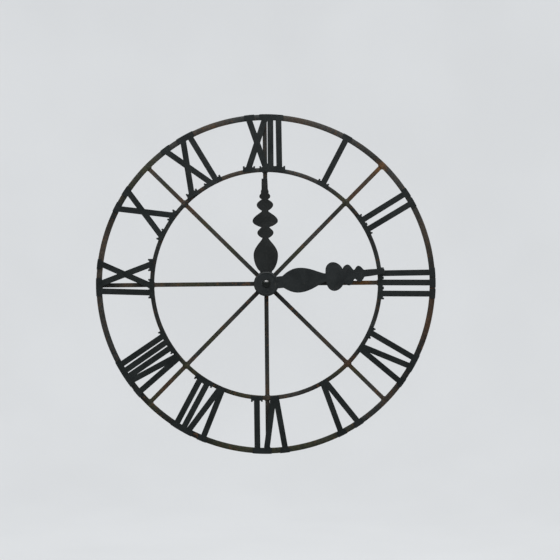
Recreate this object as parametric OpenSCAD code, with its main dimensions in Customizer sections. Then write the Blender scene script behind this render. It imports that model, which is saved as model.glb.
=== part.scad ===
// Large skeleton wall clock: an open iron dial of two rings, eight spokes and twelve cut-out
// Roman numerals, two long spade hands, and a quartz movement behind the hub.
// The wall is the plane y = 0 and the clock stands in front of it, towards -Y, with +Z up.
// The origin is the hanging hole. Distances called "back" and "front" are measured from the wall.

/* [Dial] */
// Outside diameter of the outer ring
outer_ring_d = 1150; // [1100:10:1200]
// Width of the flat bar of the outer ring
outer_ring_w = 19.5; // [14:0.5:22]
// Outside diameter of the inner ring
inner_ring_d = 788; // [760:4:800]
// Width of the flat bar of the inner ring
inner_ring_w = 15; // [10:0.5:16]
// Thickness of the rings, the spokes and the hub plate
bar_t = 3; // [2:0.5:3]
// Width of a spoke
spoke_w = 14.5; // [8:0.5:15]
// Radius at which a spoke starts, under the hub plate
spoke_start = 19; // [19:1:30]
// Radius of the hub plate
hub_r = 38; // [30:1:40]

/* [Numerals] */
// Thickness of the sheet that the numerals are cut from
numeral_t = 2; // [1.5:0.5:3]
// Width of an upright stroke
stroke_w = 20; // [12:1:21]
// Width of the crossing strokes of an X, measured along the ring
cross_w = 21.5; // [14:0.5:22]
// Height of a foot serif, from inside the inner ring
foot_serif_h = 16; // [12:0.5:18]
// Length of a foot serif on each side of its stroke
foot_reach = 10; // [6:0.5:12]
// Rise of the small nubs at the ends of a foot serif
nub_rise = 3.5; // [1:0.5:5]
// Width of these nubs
nub_w = 6; // [4:0.5:8]
// Height of a head serif, down from the rim of the outer ring
head_serif_h = 20; // [12:0.5:22]
// Length of a head serif on each side of its stroke
head_reach = 6.5; // [2:0.5:10]
// How far the head of a numeral stands out past the outer ring
head_rise = 1; // [0:0.5:3]

/* [Hands] */
// Clock angle of the hour hand
hour_angle = 359.6; // [0:0.1:359.9]
// Clock angle of the minute hand
minute_angle = 84.5; // [0:0.1:359.9]
// Radius of the round boss of the hour hand
hour_boss_r = 42.5; // [38:0.5:45]
// Radius of the round boss of the minute hand
minute_boss_r = 41; // [38:0.5:45]
// Thickness of the sheet of each hand
hand_t = 1.5; // [1:0.1:1.5]

/* [Wall fixing] */
// Height of the hanging hole above the centre of the dial
hook_height = 525; // [460:5:525]
// Radius of the hanging hole
hook_r = 3.5; // [2:0.5:4]
// Thickness of the hanger's strip
hanger_t = 2; // [1.5:0.5:2]
// Radius of the wall spacers
spacer_r = 6; // [4:0.5:6]
// Distance of the wall spacers from the centre of the dial
spacer_at = 545; // [420:5:550]
// Thickness of the rubber pads
pad_t = 3; // [2:0.5:5]

/* [Movement] */
// Side of the square case
case_side = 56; // [56:1:60]
// Distance from the wall to the front of the case
case_front_at = 25; // [25:1:30]
// Wall thickness of the case
case_wall = 1.5; // [1:0.1:1.5]
// Length of a round dry cell, with its terminal
cell_length = 50.5; // [49.5:0.1:50.5]
// Radius of a round dry cell
cell_r = 7.25; // [7:0.05:7.25]
// Module of the two meshes between the minute arbor and the hour wheel's driver
motion_module = 0.625; // [0.6:0.005:0.64]
// Module of the going train
train_module = 0.3; // [0.28:0.01:0.3]

/* [Hidden] */
SPOKES = 8;
HOURS = 12;
$fn = 96;

iron = [0.22, 0.19, 0.17];
numeral_iron = [0.13, 0.15, 0.16];
black_plastic = [0.08, 0.08, 0.09];
wheel_plastic = [0.92, 0.91, 0.86];
brass = [0.80, 0.62, 0.28];
steel = [0.70, 0.70, 0.72];
rubber = [0.12, 0.12, 0.12];

// Layers of the dial, from the wall outwards
gasket_t = 1;
spoke_back = case_front_at + gasket_t;
ring_back = spoke_back + bar_t;
numeral_back = ring_back + bar_t;
washer_t = 1;
nut_t = 3;
nut_back = numeral_back + washer_t;
bushing_front = nut_back + nut_t + 1;

// Layers of the hands, from the wall outwards
flange_t = 1;
flange_reach = 3.5;
sleeve_t = 0.8;
hour_back = bushing_front + 2;
hour_pipe_front = hour_back + hand_t + 0.5;
minute_back = hour_back + hand_t + 2.9;
collar_back = minute_back + hand_t;
collar_t = 0.8;
cap_back = collar_back + collar_t;
arbor_front = cap_back + 2.3;

// Layers of the movement, from the wall outwards
knob_back = 1;
cover_back = 4;
cover_front = cover_back + case_wall;
rotor_layer = 9;
wheel_t = 1.4;
layer_step = 2.2;
fifth_layer = rotor_layer;
fourth_layer = fifth_layer + layer_step;
third_layer = fourth_layer + layer_step;
centre_layer = third_layer + layer_step;
bridge_back = centre_layer + 2;
bridge_front = bridge_back + 1.2;
motion_layer = bridge_front + 0.6;
hour_layer = motion_layer + 2;
thick_wheel_t = 1.5;
case_inner_front = case_front_at - 1.8;

// Radii that fit each other
arbor_r = 2.5;
pipe_bore_r = 2.56;
pipe_r = 3.6;
bushing_bore_r = 3.66;
bushing_r = 5;
pivot_r = 0.5;
pivot_hole_r = 0.55;
post_r = 0.9;
post_bore_r = 0.95;
knob_arbor_r = 1;
knob_hole_r = 1.05;
centre_pivot_r = 0.8;
centre_hole_r = 0.85;

// Teeth
cannon_teeth = 12;
motion_teeth = 36;
motion_pinion_teeth = 10;
hour_teeth = 40;
pinion_teeth = 8;
centre_teeth = 64;
third_teeth = 60;
fourth_teeth = 48;
fifth_teeth = 40;
motion_distance = motion_module * (cannon_teeth + motion_teeth) / 2;
hour_module = 2 * motion_distance / (motion_pinion_teeth + hour_teeth);

// Directions from one wheel's centre to the next, counted from +X towards +Z
motion_direction = 135;
knob_direction = 250;
third_direction = 45;
fourth_direction = 20;
fifth_direction = 120;
rotor_direction = 20;

function toward(direction, distance) = distance * [cos(direction), sin(direction)];
function train_distance(teeth) = train_module * (teeth + pinion_teeth) / 2;
motion_at = toward(motion_direction, motion_distance);
knob_at = motion_at + toward(knob_direction, motion_distance);
third_at = toward(third_direction, train_distance(centre_teeth));
fourth_at = third_at + toward(fourth_direction, train_distance(third_teeth));
fifth_at = fourth_at + toward(fifth_direction, train_distance(fourth_teeth));
rotor_at = fifth_at + toward(rotor_direction, train_distance(fifth_teeth));

// The turn that puts a gap of the driven wheel on a tooth of the driver
function mesh_turn(driver_turn, driver_teeth, driven_teeth, direction) =
    direction + 180 - (180 - (direction - driver_turn) * driver_teeth) / driven_teeth;
motion_turn = mesh_turn(0, cannon_teeth, motion_teeth, motion_direction);
motion_pinion_turn = 0;
hour_turn = mesh_turn(motion_pinion_turn, motion_pinion_teeth, hour_teeth, motion_direction + 180);
knob_turn = mesh_turn(motion_turn, motion_teeth, cannon_teeth, knob_direction);
third_turn = mesh_turn(0, centre_teeth, pinion_teeth, third_direction);
fourth_turn = mesh_turn(0, third_teeth, pinion_teeth, fourth_direction);
fifth_turn = mesh_turn(0, fourth_teeth, pinion_teeth, fifth_direction);
rotor_turn = mesh_turn(0, fifth_teeth, pinion_teeth, rotor_direction);

// Inside of the case and the cell's bay
case_half = case_side / 2;
case_inner = case_half - case_wall;
bay_clearance = 0.4;
cell_z = -case_inner + bay_clearance + cell_r;
bay_top = cell_z + cell_r + bay_clearance;
bay_wall = 0.8;
bay_end = cell_length / 2 + 0.55;
bay_floor = cover_back + 2 * cell_r + 1.4;
cell_centre = bay_floor - bay_clearance / 2 - cell_r;
contact_t = 0.4;
stator_back = 7;
stator_t = 1;
coil_z = -7.9;
coil_r = 1.9;
board_back = 6.5;
board_t = 1;

outer_r = outer_ring_d / 2;
inner_r = inner_ring_d / 2;
foot_r = inner_r - inner_ring_w + 1;
head_r = outer_r + head_rise;

// Letters of the numerals I to XII. Each letter has its place along the ring at the foot and at
// the head, then the half spread of its strokes at the foot and at the head.
NUMERALS = [
    [["I", 1.5, -5]],
    [["I", -20, -24], ["I", 16.5, 15.5]],
    [["I", -31.5, -33], ["I", -0.5, 2], ["I", 37, 40]],
    [["I", -29.5, -26.5], ["V", 30.5, 36, 0, 33.5]],
    [["V", 1, 4.5, 0, 36]],
    [["V", -24.5, -27.5, 0, 34], ["I", 36, 35.5]],
    [["V", -42, -42.5, 0, 29.5], ["I", 8.5, 4], ["I", 36.5, 31.5]],
    [["V", -60.5, -75, 0, 25.5], ["I", -21, -34], ["I", 3, -11.5], ["I", 26, 13.5]],
    [["I", -26.5, -19], ["X", 33, 40.5, 40.5, 40.5]],
    [["X", 6.5, 8.5, 44, 40]],
    [["X", -25, -31, 42, 41], ["I", 32.5, 30]],
    [["X", -26.5, -26.5, 33.5, 33], ["I", 19, 19.5], ["I", 48.5, 47]]
];

// Half widths of the hands along their length: narrow places and wide places in turn, each with
// its distance from the centre, its half width, and the bend of the edge that leads to the next.
// A bend of 0.5 is a quarter of an ellipse, 1 a parabola, and more has a hollow foot.
HOUR_OUTLINE = [
    [38, 20.5, 1], [42, 20.5, 0.8], [97, 41.5, 1.35], [154.5, 10.5, 0.9], [173, 27.5, 1.5],
    [191.5, 14, 0.9], [212.5, 43, 1.35], [246.5, 10.5, 1.1], [267, 28, 1.1], [286, 10.5, 0.8],
    [296, 18.7, 1], [306, 12.8, 1], [311, 13.4, 1], [320, 10.7, 1], [356.5, 9.8, 1]
];
MINUTE_OUTLINE = [
    [38, 20.3, 1], [57, 20.3, 1], [111, 42, 1.45], [202.5, 13.5, 0.42], [229, 49, 0.75],
    [262, 23, 0.8], [279.5, 35.7, 1.15], [298, 16, 1.2], [302, 16, 1.2], [316, 27.7, 1.3],
    [334, 12, 1], [403, 8, 1]
];

// A flat piece parallel to the wall, drawn about the centre of the dial
module sheet(back, front)
    translate([0, -back, -hook_height])
        rotate([90, 0, 0]) linear_extrude(front - back) children();

// A round bar square to the wall
module rod(r, back, front, at = [0, 0])
    translate([at[0], -back, at[1] - hook_height])
        rotate([90, 0, 0]) cylinder(h = front - back, r = r);

// A rectangular block between two corners in the plane of the dial
module block(low, high, back, front)
    sheet(back, front) translate(low) square(high - low);

// A turn clockwise from twelve o'clock
module clock_turn(angle) rotate(-angle) children();

module ring(outer, width)
    sheet(ring_back, numeral_back) difference() {
        circle(outer, $fn = 240);
        circle(outer - width, $fn = 240);
    }

module spoke(i)
    color(iron) sheet(spoke_back, ring_back) clock_turn((i - 1) * 360 / SPOKES)
        translate([-spoke_w / 2, spoke_start])
            square([spoke_w, outer_r - outer_ring_w / 2 - spoke_start]);

module outer_ring() color(iron) ring(outer_r, outer_ring_w);
module inner_ring() color(iron) ring(inner_r, inner_ring_w);

// A straight stroke from a foot to a head
module stroke(foot, head, width)
    polygon([
        [foot - width / 2, foot_r], [foot + width / 2, foot_r],
        [head + width / 2, head_r], [head - width / 2, head_r]
    ]);

// The middle of a stroke at a given radius
function stroke_at(foot, head, radius) =
    foot + (head - foot) * (radius - foot_r) / (head_r - foot_r);

// A bar across the foot of a stroke with a small nub at each end
module foot_serif(foot, head, width) {
    half = width / 2 + foot_reach;
    translate([stroke_at(foot, head, foot_r + foot_serif_h), foot_r]) {
        translate([-half, 0]) square([2 * half, foot_serif_h]);
        for (left = [-half, half - nub_w])
            translate([left, 0]) square([nub_w, foot_serif_h + nub_rise]);
    }
}

module head_serif(foot, head, width) {
    half = width / 2 + head_reach;
    translate([stroke_at(foot, head, head_r - head_serif_h) - half, head_r - head_serif_h])
        square([2 * half, head_serif_h]);
}

module serifed_stroke(foot, head, width) {
    stroke(foot, head, width);
    foot_serif(foot, head, width);
    head_serif(foot, head, width);
}

// A V: two strokes that meet in a flat point with no foot serif
module letter_v(foot, head, spread) {
    point_half = stroke_w * 0.18;
    for (side = [-1, 1]) {
        stroke(foot + side * point_half, head + side * spread, stroke_w);
        head_serif(foot + side * point_half, head + side * spread, stroke_w);
    }
}

module letter_x(foot, head, foot_spread, head_spread)
    for (side = [-1, 1])
        serifed_stroke(foot - side * foot_spread, head + side * head_spread, cross_w);

module letter(l) {
    if (l[0] == "I") serifed_stroke(l[1], l[2], stroke_w);
    if (l[0] == "V") letter_v(l[1], l[2], l[4]);
    if (l[0] == "X") letter_x(l[1], l[2], l[3], l[4]);
}

// The heads are cut along the rim of the outer ring
module numeral(hour)
    color(numeral_iron) sheet(numeral_back, numeral_back + numeral_t) intersection() {
        clock_turn(hour * 360 / HOURS) union() for (l = NUMERALS[hour - 1]) letter(l);
        circle(head_r, $fn = 240);
    }

module hub_plate()
    color(iron) difference() {
        rod(hub_r, ring_back, numeral_back);
        rod(bushing_r, ring_back - 1, numeral_back + 1);
    }

// A strip bent into a hat: a plate against the wall with the hanging hole, two legs and two feet
module hanger_bracket() {
    plate_low = -20;
    plate_high = 12;
    foot_length = 14;
    half = spoke_w / 2;
    centre = [0, hook_height];
    color(iron) {
        difference() {
            block(centre + [-half, plate_low], centre + [half, plate_high], 0, hanger_t);
            rod(hook_r, -1, hanger_t + 1, centre);
        }
        for (leg = [[plate_low, plate_low - foot_length], [plate_high - hanger_t, plate_high]])
            block(
                centre + [-half, max(leg[0], plate_low)],
                centre + [half, max(leg[0], plate_low) + hanger_t], hanger_t, spoke_back
            );
        block(
            centre + [-half, plate_low - foot_length], centre + [half, plate_low],
            spoke_back - hanger_t, spoke_back
        );
        block(
            centre + [-half, plate_high], centre + [half, plate_high + foot_length],
            spoke_back - hanger_t, spoke_back
        );
    }
}

function spacer_place(side) = toward(-90 + side * 45, spacer_at);

module wall_spacers()
    color(iron) for (side = [-1, 1]) rod(spacer_r, pad_t, spoke_back, spacer_place(side));

module spacer_pads()
    color(rubber) for (side = [-1, 1]) rod(spacer_r, 0, pad_t, spacer_place(side));

// Half width of a hand between a narrow place and a wide place
function half_width(a, b, r) =
    let (wide = a[1] > b[1] ? a : b, narrow = a[1] > b[1] ? b : a)
    let (t = (r - wide[0]) / (narrow[0] - wide[0]))
    narrow[1] + (wide[1] - narrow[1]) * pow(1 - t * t, a[2]);

function hand_edge(outline, steps = 12) = [
    for (i = [0:len(outline) - 2])
        for (k = [0:steps - 1])
            let (a = outline[i], b = outline[i + 1], r = a[0] + (b[0] - a[0]) * k / steps)
            [half_width(a, b, r), r],
    [outline[len(outline) - 1][1], outline[len(outline) - 1][0]]
];

module hand_shape(outline, boss_r) {
    edge = hand_edge(outline);
    count = len(edge);
    circle(boss_r, $fn = 120);
    polygon(concat(edge, [for (i = [count - 1:-1:0]) [-edge[i][0], edge[i][1]]]));
}

module hand(outline, boss_r, angle, back, bore)
    color(numeral_iron) difference() {
        sheet(back, back + hand_t) clock_turn(angle) hand_shape(outline, boss_r);
        rod(bore, back - 1, back + hand_t + 1);
    }

module hour_hand()
    hand(HOUR_OUTLINE, hour_boss_r, hour_angle, hour_back, pipe_r + sleeve_t);
module minute_hand()
    hand(MINUTE_OUTLINE, minute_boss_r, minute_angle, minute_back, arbor_r + sleeve_t);

// A riveted brass bush: a flange behind the hand and a sleeve through it
module bush(bore, back)
    color(brass) difference() {
        union() {
            rod(bore + flange_reach, back - flange_t, back);
            rod(bore + sleeve_t, back, back + hand_t);
        }
        rod(bore, back - flange_t - 1, back + hand_t + 1);
    }

module hour_bush() bush(pipe_r, hour_back);
module minute_bush() bush(arbor_r, minute_back);

module minute_collar()
    color(iron) difference() {
        rod(14, collar_back, cap_back);
        rod(arbor_r, collar_back - 1, cap_back + 1);
    }

// A domed nut with a short straight skirt and a blind hole for the end of the minute arbor
module cap_nut() {
    nut_r = 12.5;
    skirt = 1.2;
    dome = 5.75;
    ball_r = (nut_r * nut_r + dome * dome) / (2 * dome);
    color(numeral_iron) difference() {
        union() {
            rod(nut_r, cap_back, cap_back + skirt);
            intersection() {
                rod(nut_r, cap_back + skirt, cap_back + skirt + dome + 1);
                translate([0, -(cap_back + skirt + dome - ball_r), -hook_height])
                    sphere(ball_r);
            }
        }
        rod(arbor_r, cap_back - 1, arbor_front);
    }
}

module rounded_square(half, r) {
    square(2 * [half, half - r], center = true);
    square(2 * [half - r, half], center = true);
    for (x = [-1, 1], z = [-1, 1]) translate((half - r) * [x, z]) circle(r);
}

// Front shell of the movement, with the post that the motion wheel turns on
module case_front()
    color(black_plastic) {
        difference() {
            sheet(cover_front, case_front_at) rounded_square(case_half, 2);
            sheet(cover_front - 1, case_inner_front) square(2 * case_inner, center = true);
            rod(bushing_r, case_inner_front - 1, case_front_at + 1);
        }
        rod(post_r, bridge_front + 0.3, case_inner_front, motion_at);
        difference() {
            rod(1.8, hour_layer, case_inner_front, knob_at);
            rod(knob_hole_r, hour_layer - 1, case_inner_front - 0.3, knob_at);
        }
    }

// A bearing for the rear pivot of one arbor
module rear_bearing(at, front, r, hole_r, hole_back)
    difference() {
        rod(r, cover_front, front, at);
        rod(hole_r, hole_back, front + 1, at);
    }

// Back cover of the movement, with the cell's bay and the rear bearings
module case_back() {
    edge = case_inner - 0.1;
    roof = bay_floor + 1;
    color(black_plastic) {
        difference() {
            sheet(cover_back, cover_front) rounded_square(case_half, 2);
            block([-bay_end, -edge], [bay_end, bay_top], cover_back - 1, cover_front + 1);
            rod(knob_hole_r, cover_back - 1, cover_front + 1, knob_at);
            rod(pivot_hole_r, cover_back + 0.5, cover_front + 1, rotor_at);
        }
        block([-edge, bay_top], [edge, bay_top + bay_wall], cover_front, roof);
        block([-edge, -edge], [edge, bay_top], bay_floor, roof);
        block([-edge, -edge], [-bay_end, bay_top], cover_front, bay_floor);
        block([bay_end, -edge], [edge, bay_top], cover_front, bay_floor);
        rear_bearing([0, 0], third_layer - 0.6, 1.6, centre_hole_r, cover_front + 2);
        rear_bearing(third_at, third_layer - 0.6, 1.3, pivot_hole_r, cover_front + 2);
        rear_bearing(fourth_at, fourth_layer - 0.5, 1.2, pivot_hole_r, cover_front);
        rear_bearing(fifth_at, fifth_layer - 0.5, 1.2, pivot_hole_r, cover_front);
        for (x = [-23, -6]) rod(1.5, cover_front, board_back, [x, 12]);
    }
}

module mounting_bushing()
    color(brass) difference() {
        rod(bushing_r, case_inner_front, bushing_front);
        rod(bushing_bore_r, case_inner_front - 1, bushing_front + 1);
    }

module mounting_nut()
    color(brass) difference() {
        sheet(nut_back, nut_back + nut_t) circle(14 / sqrt(3), $fn = 6);
        rod(bushing_r, nut_back - 1, nut_back + nut_t + 1);
    }

module mounting_washer()
    color(brass) difference() {
        rod(9, numeral_back, nut_back);
        rod(bushing_r, numeral_back - 1, nut_back + 1);
    }

module gasket()
    color(rubber) difference() {
        rod(27, case_front_at, spoke_back);
        rod(bushing_r + 0.5, case_front_at - 1, spoke_back + 1);
    }

// Plate between the going train and the motion work, with the front pivots' holes
module train_bridge()
    color(black_plastic) difference() {
        block(
            [-case_inner, bay_top + bay_wall], [case_inner, case_inner],
            bridge_back, bridge_front
        );
        rod(3.3, bridge_back - 1, bridge_front + 1);
        rod(knob_arbor_r + 0.4, bridge_back - 1, bridge_front + 1, knob_at);
        for (at = [third_at, fourth_at, fifth_at, rotor_at])
            rod(pivot_hole_r, bridge_back - 1, bridge_front + 1, at);
    }

// Outline of a toothed wheel: slender teeth with play, so that they run free at every angle
function tooth(angle, pitch, root_r, tip_r) = [
    for (corner = [[root_r, -0.19], [tip_r, -0.09], [tip_r, 0.09], [root_r, 0.19]])
        toward(angle + corner[1] * pitch, corner[0])
];

module toothed(teeth, tooth_module, turn) {
    pitch = 360 / teeth;
    pitch_r = teeth * tooth_module / 2;
    root_r = pitch_r - 1.15 * tooth_module;
    tip_r = pitch_r + 0.7 * tooth_module;
    polygon([for (i = [0:teeth - 1]) each tooth(turn + i * pitch, pitch, root_r, tip_r)]);
}

module gear(teeth, tooth_module, turn, back, thickness, at = [0, 0])
    sheet(back, back + thickness) translate(at) toothed(teeth, tooth_module, turn);

module minute_arbor()
    color(steel) {
        rod(centre_pivot_r, cover_front + 3, centre_layer);
        rod(arbor_r, centre_layer, arbor_front);
    }

// Centre wheel with the cannon pinion on one hub
module centre_wheel()
    color(wheel_plastic) difference() {
        union() {
            gear(centre_teeth, train_module, 0, centre_layer, wheel_t);
            rod(2.95, centre_layer + wheel_t, motion_layer);
            gear(cannon_teeth, motion_module, 0, motion_layer, thick_wheel_t);
        }
        rod(arbor_r, centre_layer - 1, hour_layer);
    }

module motion_wheel()
    color(wheel_plastic) difference() {
        union() {
            gear(motion_teeth, motion_module, motion_turn, motion_layer, thick_wheel_t, motion_at);
            rod(2, motion_layer + thick_wheel_t, hour_layer, motion_at);
            gear(
                motion_pinion_teeth, hour_module, motion_pinion_turn,
                hour_layer, thick_wheel_t, motion_at
            );
        }
        rod(post_bore_r, motion_layer - 1, case_inner_front, motion_at);
    }

module hour_wheel()
    color(wheel_plastic) difference() {
        union() {
            gear(hour_teeth, hour_module, hour_turn, hour_layer, thick_wheel_t);
            rod(pipe_r, hour_layer + thick_wheel_t, hour_pipe_front);
        }
        rod(pipe_bore_r, hour_layer - 1, hour_pipe_front + 1);
    }

// One arbor of the going train: a wheel behind and a pinion in front, on a thin steel pivot
module train_wheel(at, teeth, layer, turn, pivot_back)
    color(wheel_plastic) {
        rod(pivot_r, pivot_back, bridge_front - 0.4, at);
        gear(teeth, train_module, 0, layer, wheel_t, at);
        rod(0.8, layer + wheel_t, layer + layer_step, at);
        gear(pinion_teeth, train_module, turn, layer + layer_step, wheel_t, at);
    }

module third_wheel() train_wheel(third_at, third_teeth, third_layer, third_turn, cover_front + 3);
module fourth_wheel() train_wheel(fourth_at, fourth_teeth, fourth_layer, fourth_turn, cover_front + 1);
module fifth_wheel() train_wheel(fifth_at, fifth_teeth, fifth_layer, fifth_turn, cover_front + 1);

module rotor()
    color(steel) {
        rod(pivot_r, cover_back + 1, bridge_front - 0.4, rotor_at);
        rod(3, stator_back - 0.4, stator_back + stator_t + 0.6, rotor_at);
        gear(pinion_teeth, train_module, rotor_turn, rotor_layer, wheel_t, rotor_at);
    }

// Stator: a closed frame of soft iron with the rotor's hole; its lower bar is the coil's core
module stator()
    color(steel) difference() {
        block([2, coil_z - 1], [25.6, 26], stator_back, stator_back + stator_t);
        block([5.8, coil_z + 1], [21.5, 15.6], stator_back - 1, stator_back + stator_t + 1);
        rod(3.4, stator_back - 1, stator_back + stator_t + 1, rotor_at);
        rod(1.5, stator_back - 1, stator_back + stator_t + 1, fifth_at);
    }

// A bar along X through the coil
module coil_rod(r, from, to)
    translate([from, -(stator_back + stator_t / 2), coil_z - hook_height])
        rotate([0, 90, 0]) cylinder(h = to - from, r = r);

module coil_core_hole()
    block([5, coil_z - 1], [23, coil_z + 1], stator_back, stator_back + stator_t);

module coil_bobbin()
    color(wheel_plastic) difference() {
        union() {
            coil_rod(1.4, 6, 21.3);
            for (x = [6, 20.5]) coil_rod(coil_r, x, x + 0.8);
        }
        coil_core_hole();
    }

module coil_winding()
    color([0.72, 0.36, 0.16]) difference() {
        coil_rod(coil_r - 0.1, 6.8, 20.5);
        coil_rod(1.4, 6, 21.3);
    }

module circuit_board()
    color([0.10, 0.35, 0.18])
        block([-25.5, 7], [-3, 25.5], board_back, board_back + board_t);

module control_chip()
    color(black_plastic) rod(3, board_back + board_t, board_back + board_t + 0.8, [-9, 19]);

module quartz_crystal()
    color(steel) translate([-22, -(board_back + board_t + 1), 20 - hook_height])
        rotate([0, 90, 0]) cylinder(h = 6, r = 1);

// A round cell lying along X, with its raised terminal at the +X end
module battery() {
    terminal = 1;
    color([0.25, 0.30, 0.36]) translate([-cell_length / 2, -cell_centre, cell_z - hook_height])
        rotate([0, 90, 0]) {
            cylinder(h = cell_length - terminal, r = cell_r);
            cylinder(h = cell_length, r = 2.75);
        }
}

module contact(side)
    color(steel) {
        inner = cell_length / 2 + 0.15;
        low = side > 0 ? inner : -inner - contact_t;
        block([low, cell_z - 4], [low + contact_t, cell_z + 4], cover_front + 2, bay_floor - 1);
    }

module positive_contact() contact(1);
module negative_contact() contact(-1);

// Setting knob at the back, its arbor and the pinion that turns the motion wheel
module setting_knob()
    color(black_plastic) {
        rod(6.5, knob_back, cover_back - 0.4, knob_at);
        rod(knob_arbor_r, cover_back - 0.4, case_inner_front - 0.6, knob_at);
        gear(cannon_teeth, motion_module, knob_turn, motion_layer, thick_wheel_t, knob_at);
    }

outer_ring();
inner_ring();
for (i = [1:SPOKES])
    spoke(i);
for (hour = [1:HOURS])
    numeral(hour);
hub_plate();
hanger_bracket();
wall_spacers();
spacer_pads();
hour_hand();
hour_bush();
minute_hand();
minute_bush();
minute_collar();
cap_nut();
case_front();
case_back();
mounting_bushing();
mounting_nut();
mounting_washer();
gasket();
train_bridge();
minute_arbor();
centre_wheel();
motion_wheel();
hour_wheel();
third_wheel();
fourth_wheel();
fifth_wheel();
rotor();
stator();
coil_bobbin();
coil_winding();
circuit_board();
control_chip();
quartz_crystal();
battery();
positive_contact();
negative_contact();
setting_knob();
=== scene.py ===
"""Looks of a large iron skeleton wall clock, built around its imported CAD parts.

Everything is in metres in the frame of the CAD: the wall is the plane y = 0, the clock stands in
front of it towards -Y, +Z is up, and the origin is the hanging hole above the dial's centre.
"""

import math  # noqa: E402
import random  # noqa: E402

import bmesh  # noqa: E402
import bpy  # noqa: E402
from mathutils import Matrix, Vector, noise  # noqa: E402
from mathutils.bvhtree import BVHTree  # noqa: E402


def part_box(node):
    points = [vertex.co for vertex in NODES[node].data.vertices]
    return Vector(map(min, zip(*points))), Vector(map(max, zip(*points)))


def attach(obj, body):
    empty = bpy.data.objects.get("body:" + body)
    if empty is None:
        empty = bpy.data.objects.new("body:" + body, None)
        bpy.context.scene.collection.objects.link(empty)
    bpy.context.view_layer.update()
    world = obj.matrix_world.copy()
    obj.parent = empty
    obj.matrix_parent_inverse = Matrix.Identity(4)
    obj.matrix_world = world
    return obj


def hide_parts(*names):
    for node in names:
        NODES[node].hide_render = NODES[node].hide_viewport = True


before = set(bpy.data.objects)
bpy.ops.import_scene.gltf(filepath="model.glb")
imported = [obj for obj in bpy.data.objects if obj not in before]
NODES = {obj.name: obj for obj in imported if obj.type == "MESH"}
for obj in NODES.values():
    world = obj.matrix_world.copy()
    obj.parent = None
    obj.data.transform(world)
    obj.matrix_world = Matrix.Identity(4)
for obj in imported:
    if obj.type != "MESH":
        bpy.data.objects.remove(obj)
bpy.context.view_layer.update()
MM = 0.001

# ---------------------------------------------------------------- places, read from the CAD

RIM_LOW, RIM_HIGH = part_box("outer_ring")
CENTRE_X = (RIM_LOW.x + RIM_HIGH.x) / 2
CENTRE_Z = (RIM_LOW.z + RIM_HIGH.z) / 2
OUTER_R = (RIM_HIGH.x - RIM_LOW.x) / 2
INNER_R = (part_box("inner_ring")[1].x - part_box("inner_ring")[0].x) / 2
SPOKE_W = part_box("spoke_1")[1].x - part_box("spoke_1")[0].x
HUB_R = (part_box("hub_plate")[1].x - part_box("hub_plate")[0].x) / 2
RING_BACK = -RIM_HIGH.y
NUMERAL_BACK = -RIM_LOW.y
SPOKE_BACK = -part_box("spoke_1")[1].y
SPOKES = 8
HOURS = 12


def least_radius(name):
    """Distance from the dial's axis to the nearest point of a CAD node."""
    return min(
        math.hypot(v.co.x - CENTRE_X, v.co.z - CENTRE_Z) for v in NODES[name].data.vertices
    )


OUTER_INSIDE_R = least_radius("outer_ring")
INNER_INSIDE_R = least_radius("inner_ring")


def dial(angle, radius, depth, aside=0.0):
    """A point at a clock angle in degrees, a radius, a distance from the wall and an offset
    clockwise along the ring."""
    a = math.radians(angle)
    return Vector(
        (
            CENTRE_X + radius * math.sin(a) + aside * math.cos(a),
            -depth,
            CENTRE_Z + radius * math.cos(a) - aside * math.sin(a),
        )
    )


# ---------------------------------------------------------------- materials


def linear(value):
    """Linear light from an sRGB level of 0 to 255."""
    value /= 255
    return value / 12.92 if value <= 0.04045 else ((value + 0.055) / 1.055) ** 2.4


def rgb(red, green, blue):
    """A node colour from sRGB levels of 0 to 255."""
    return (linear(red), linear(green), linear(blue), 1.0)


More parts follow.
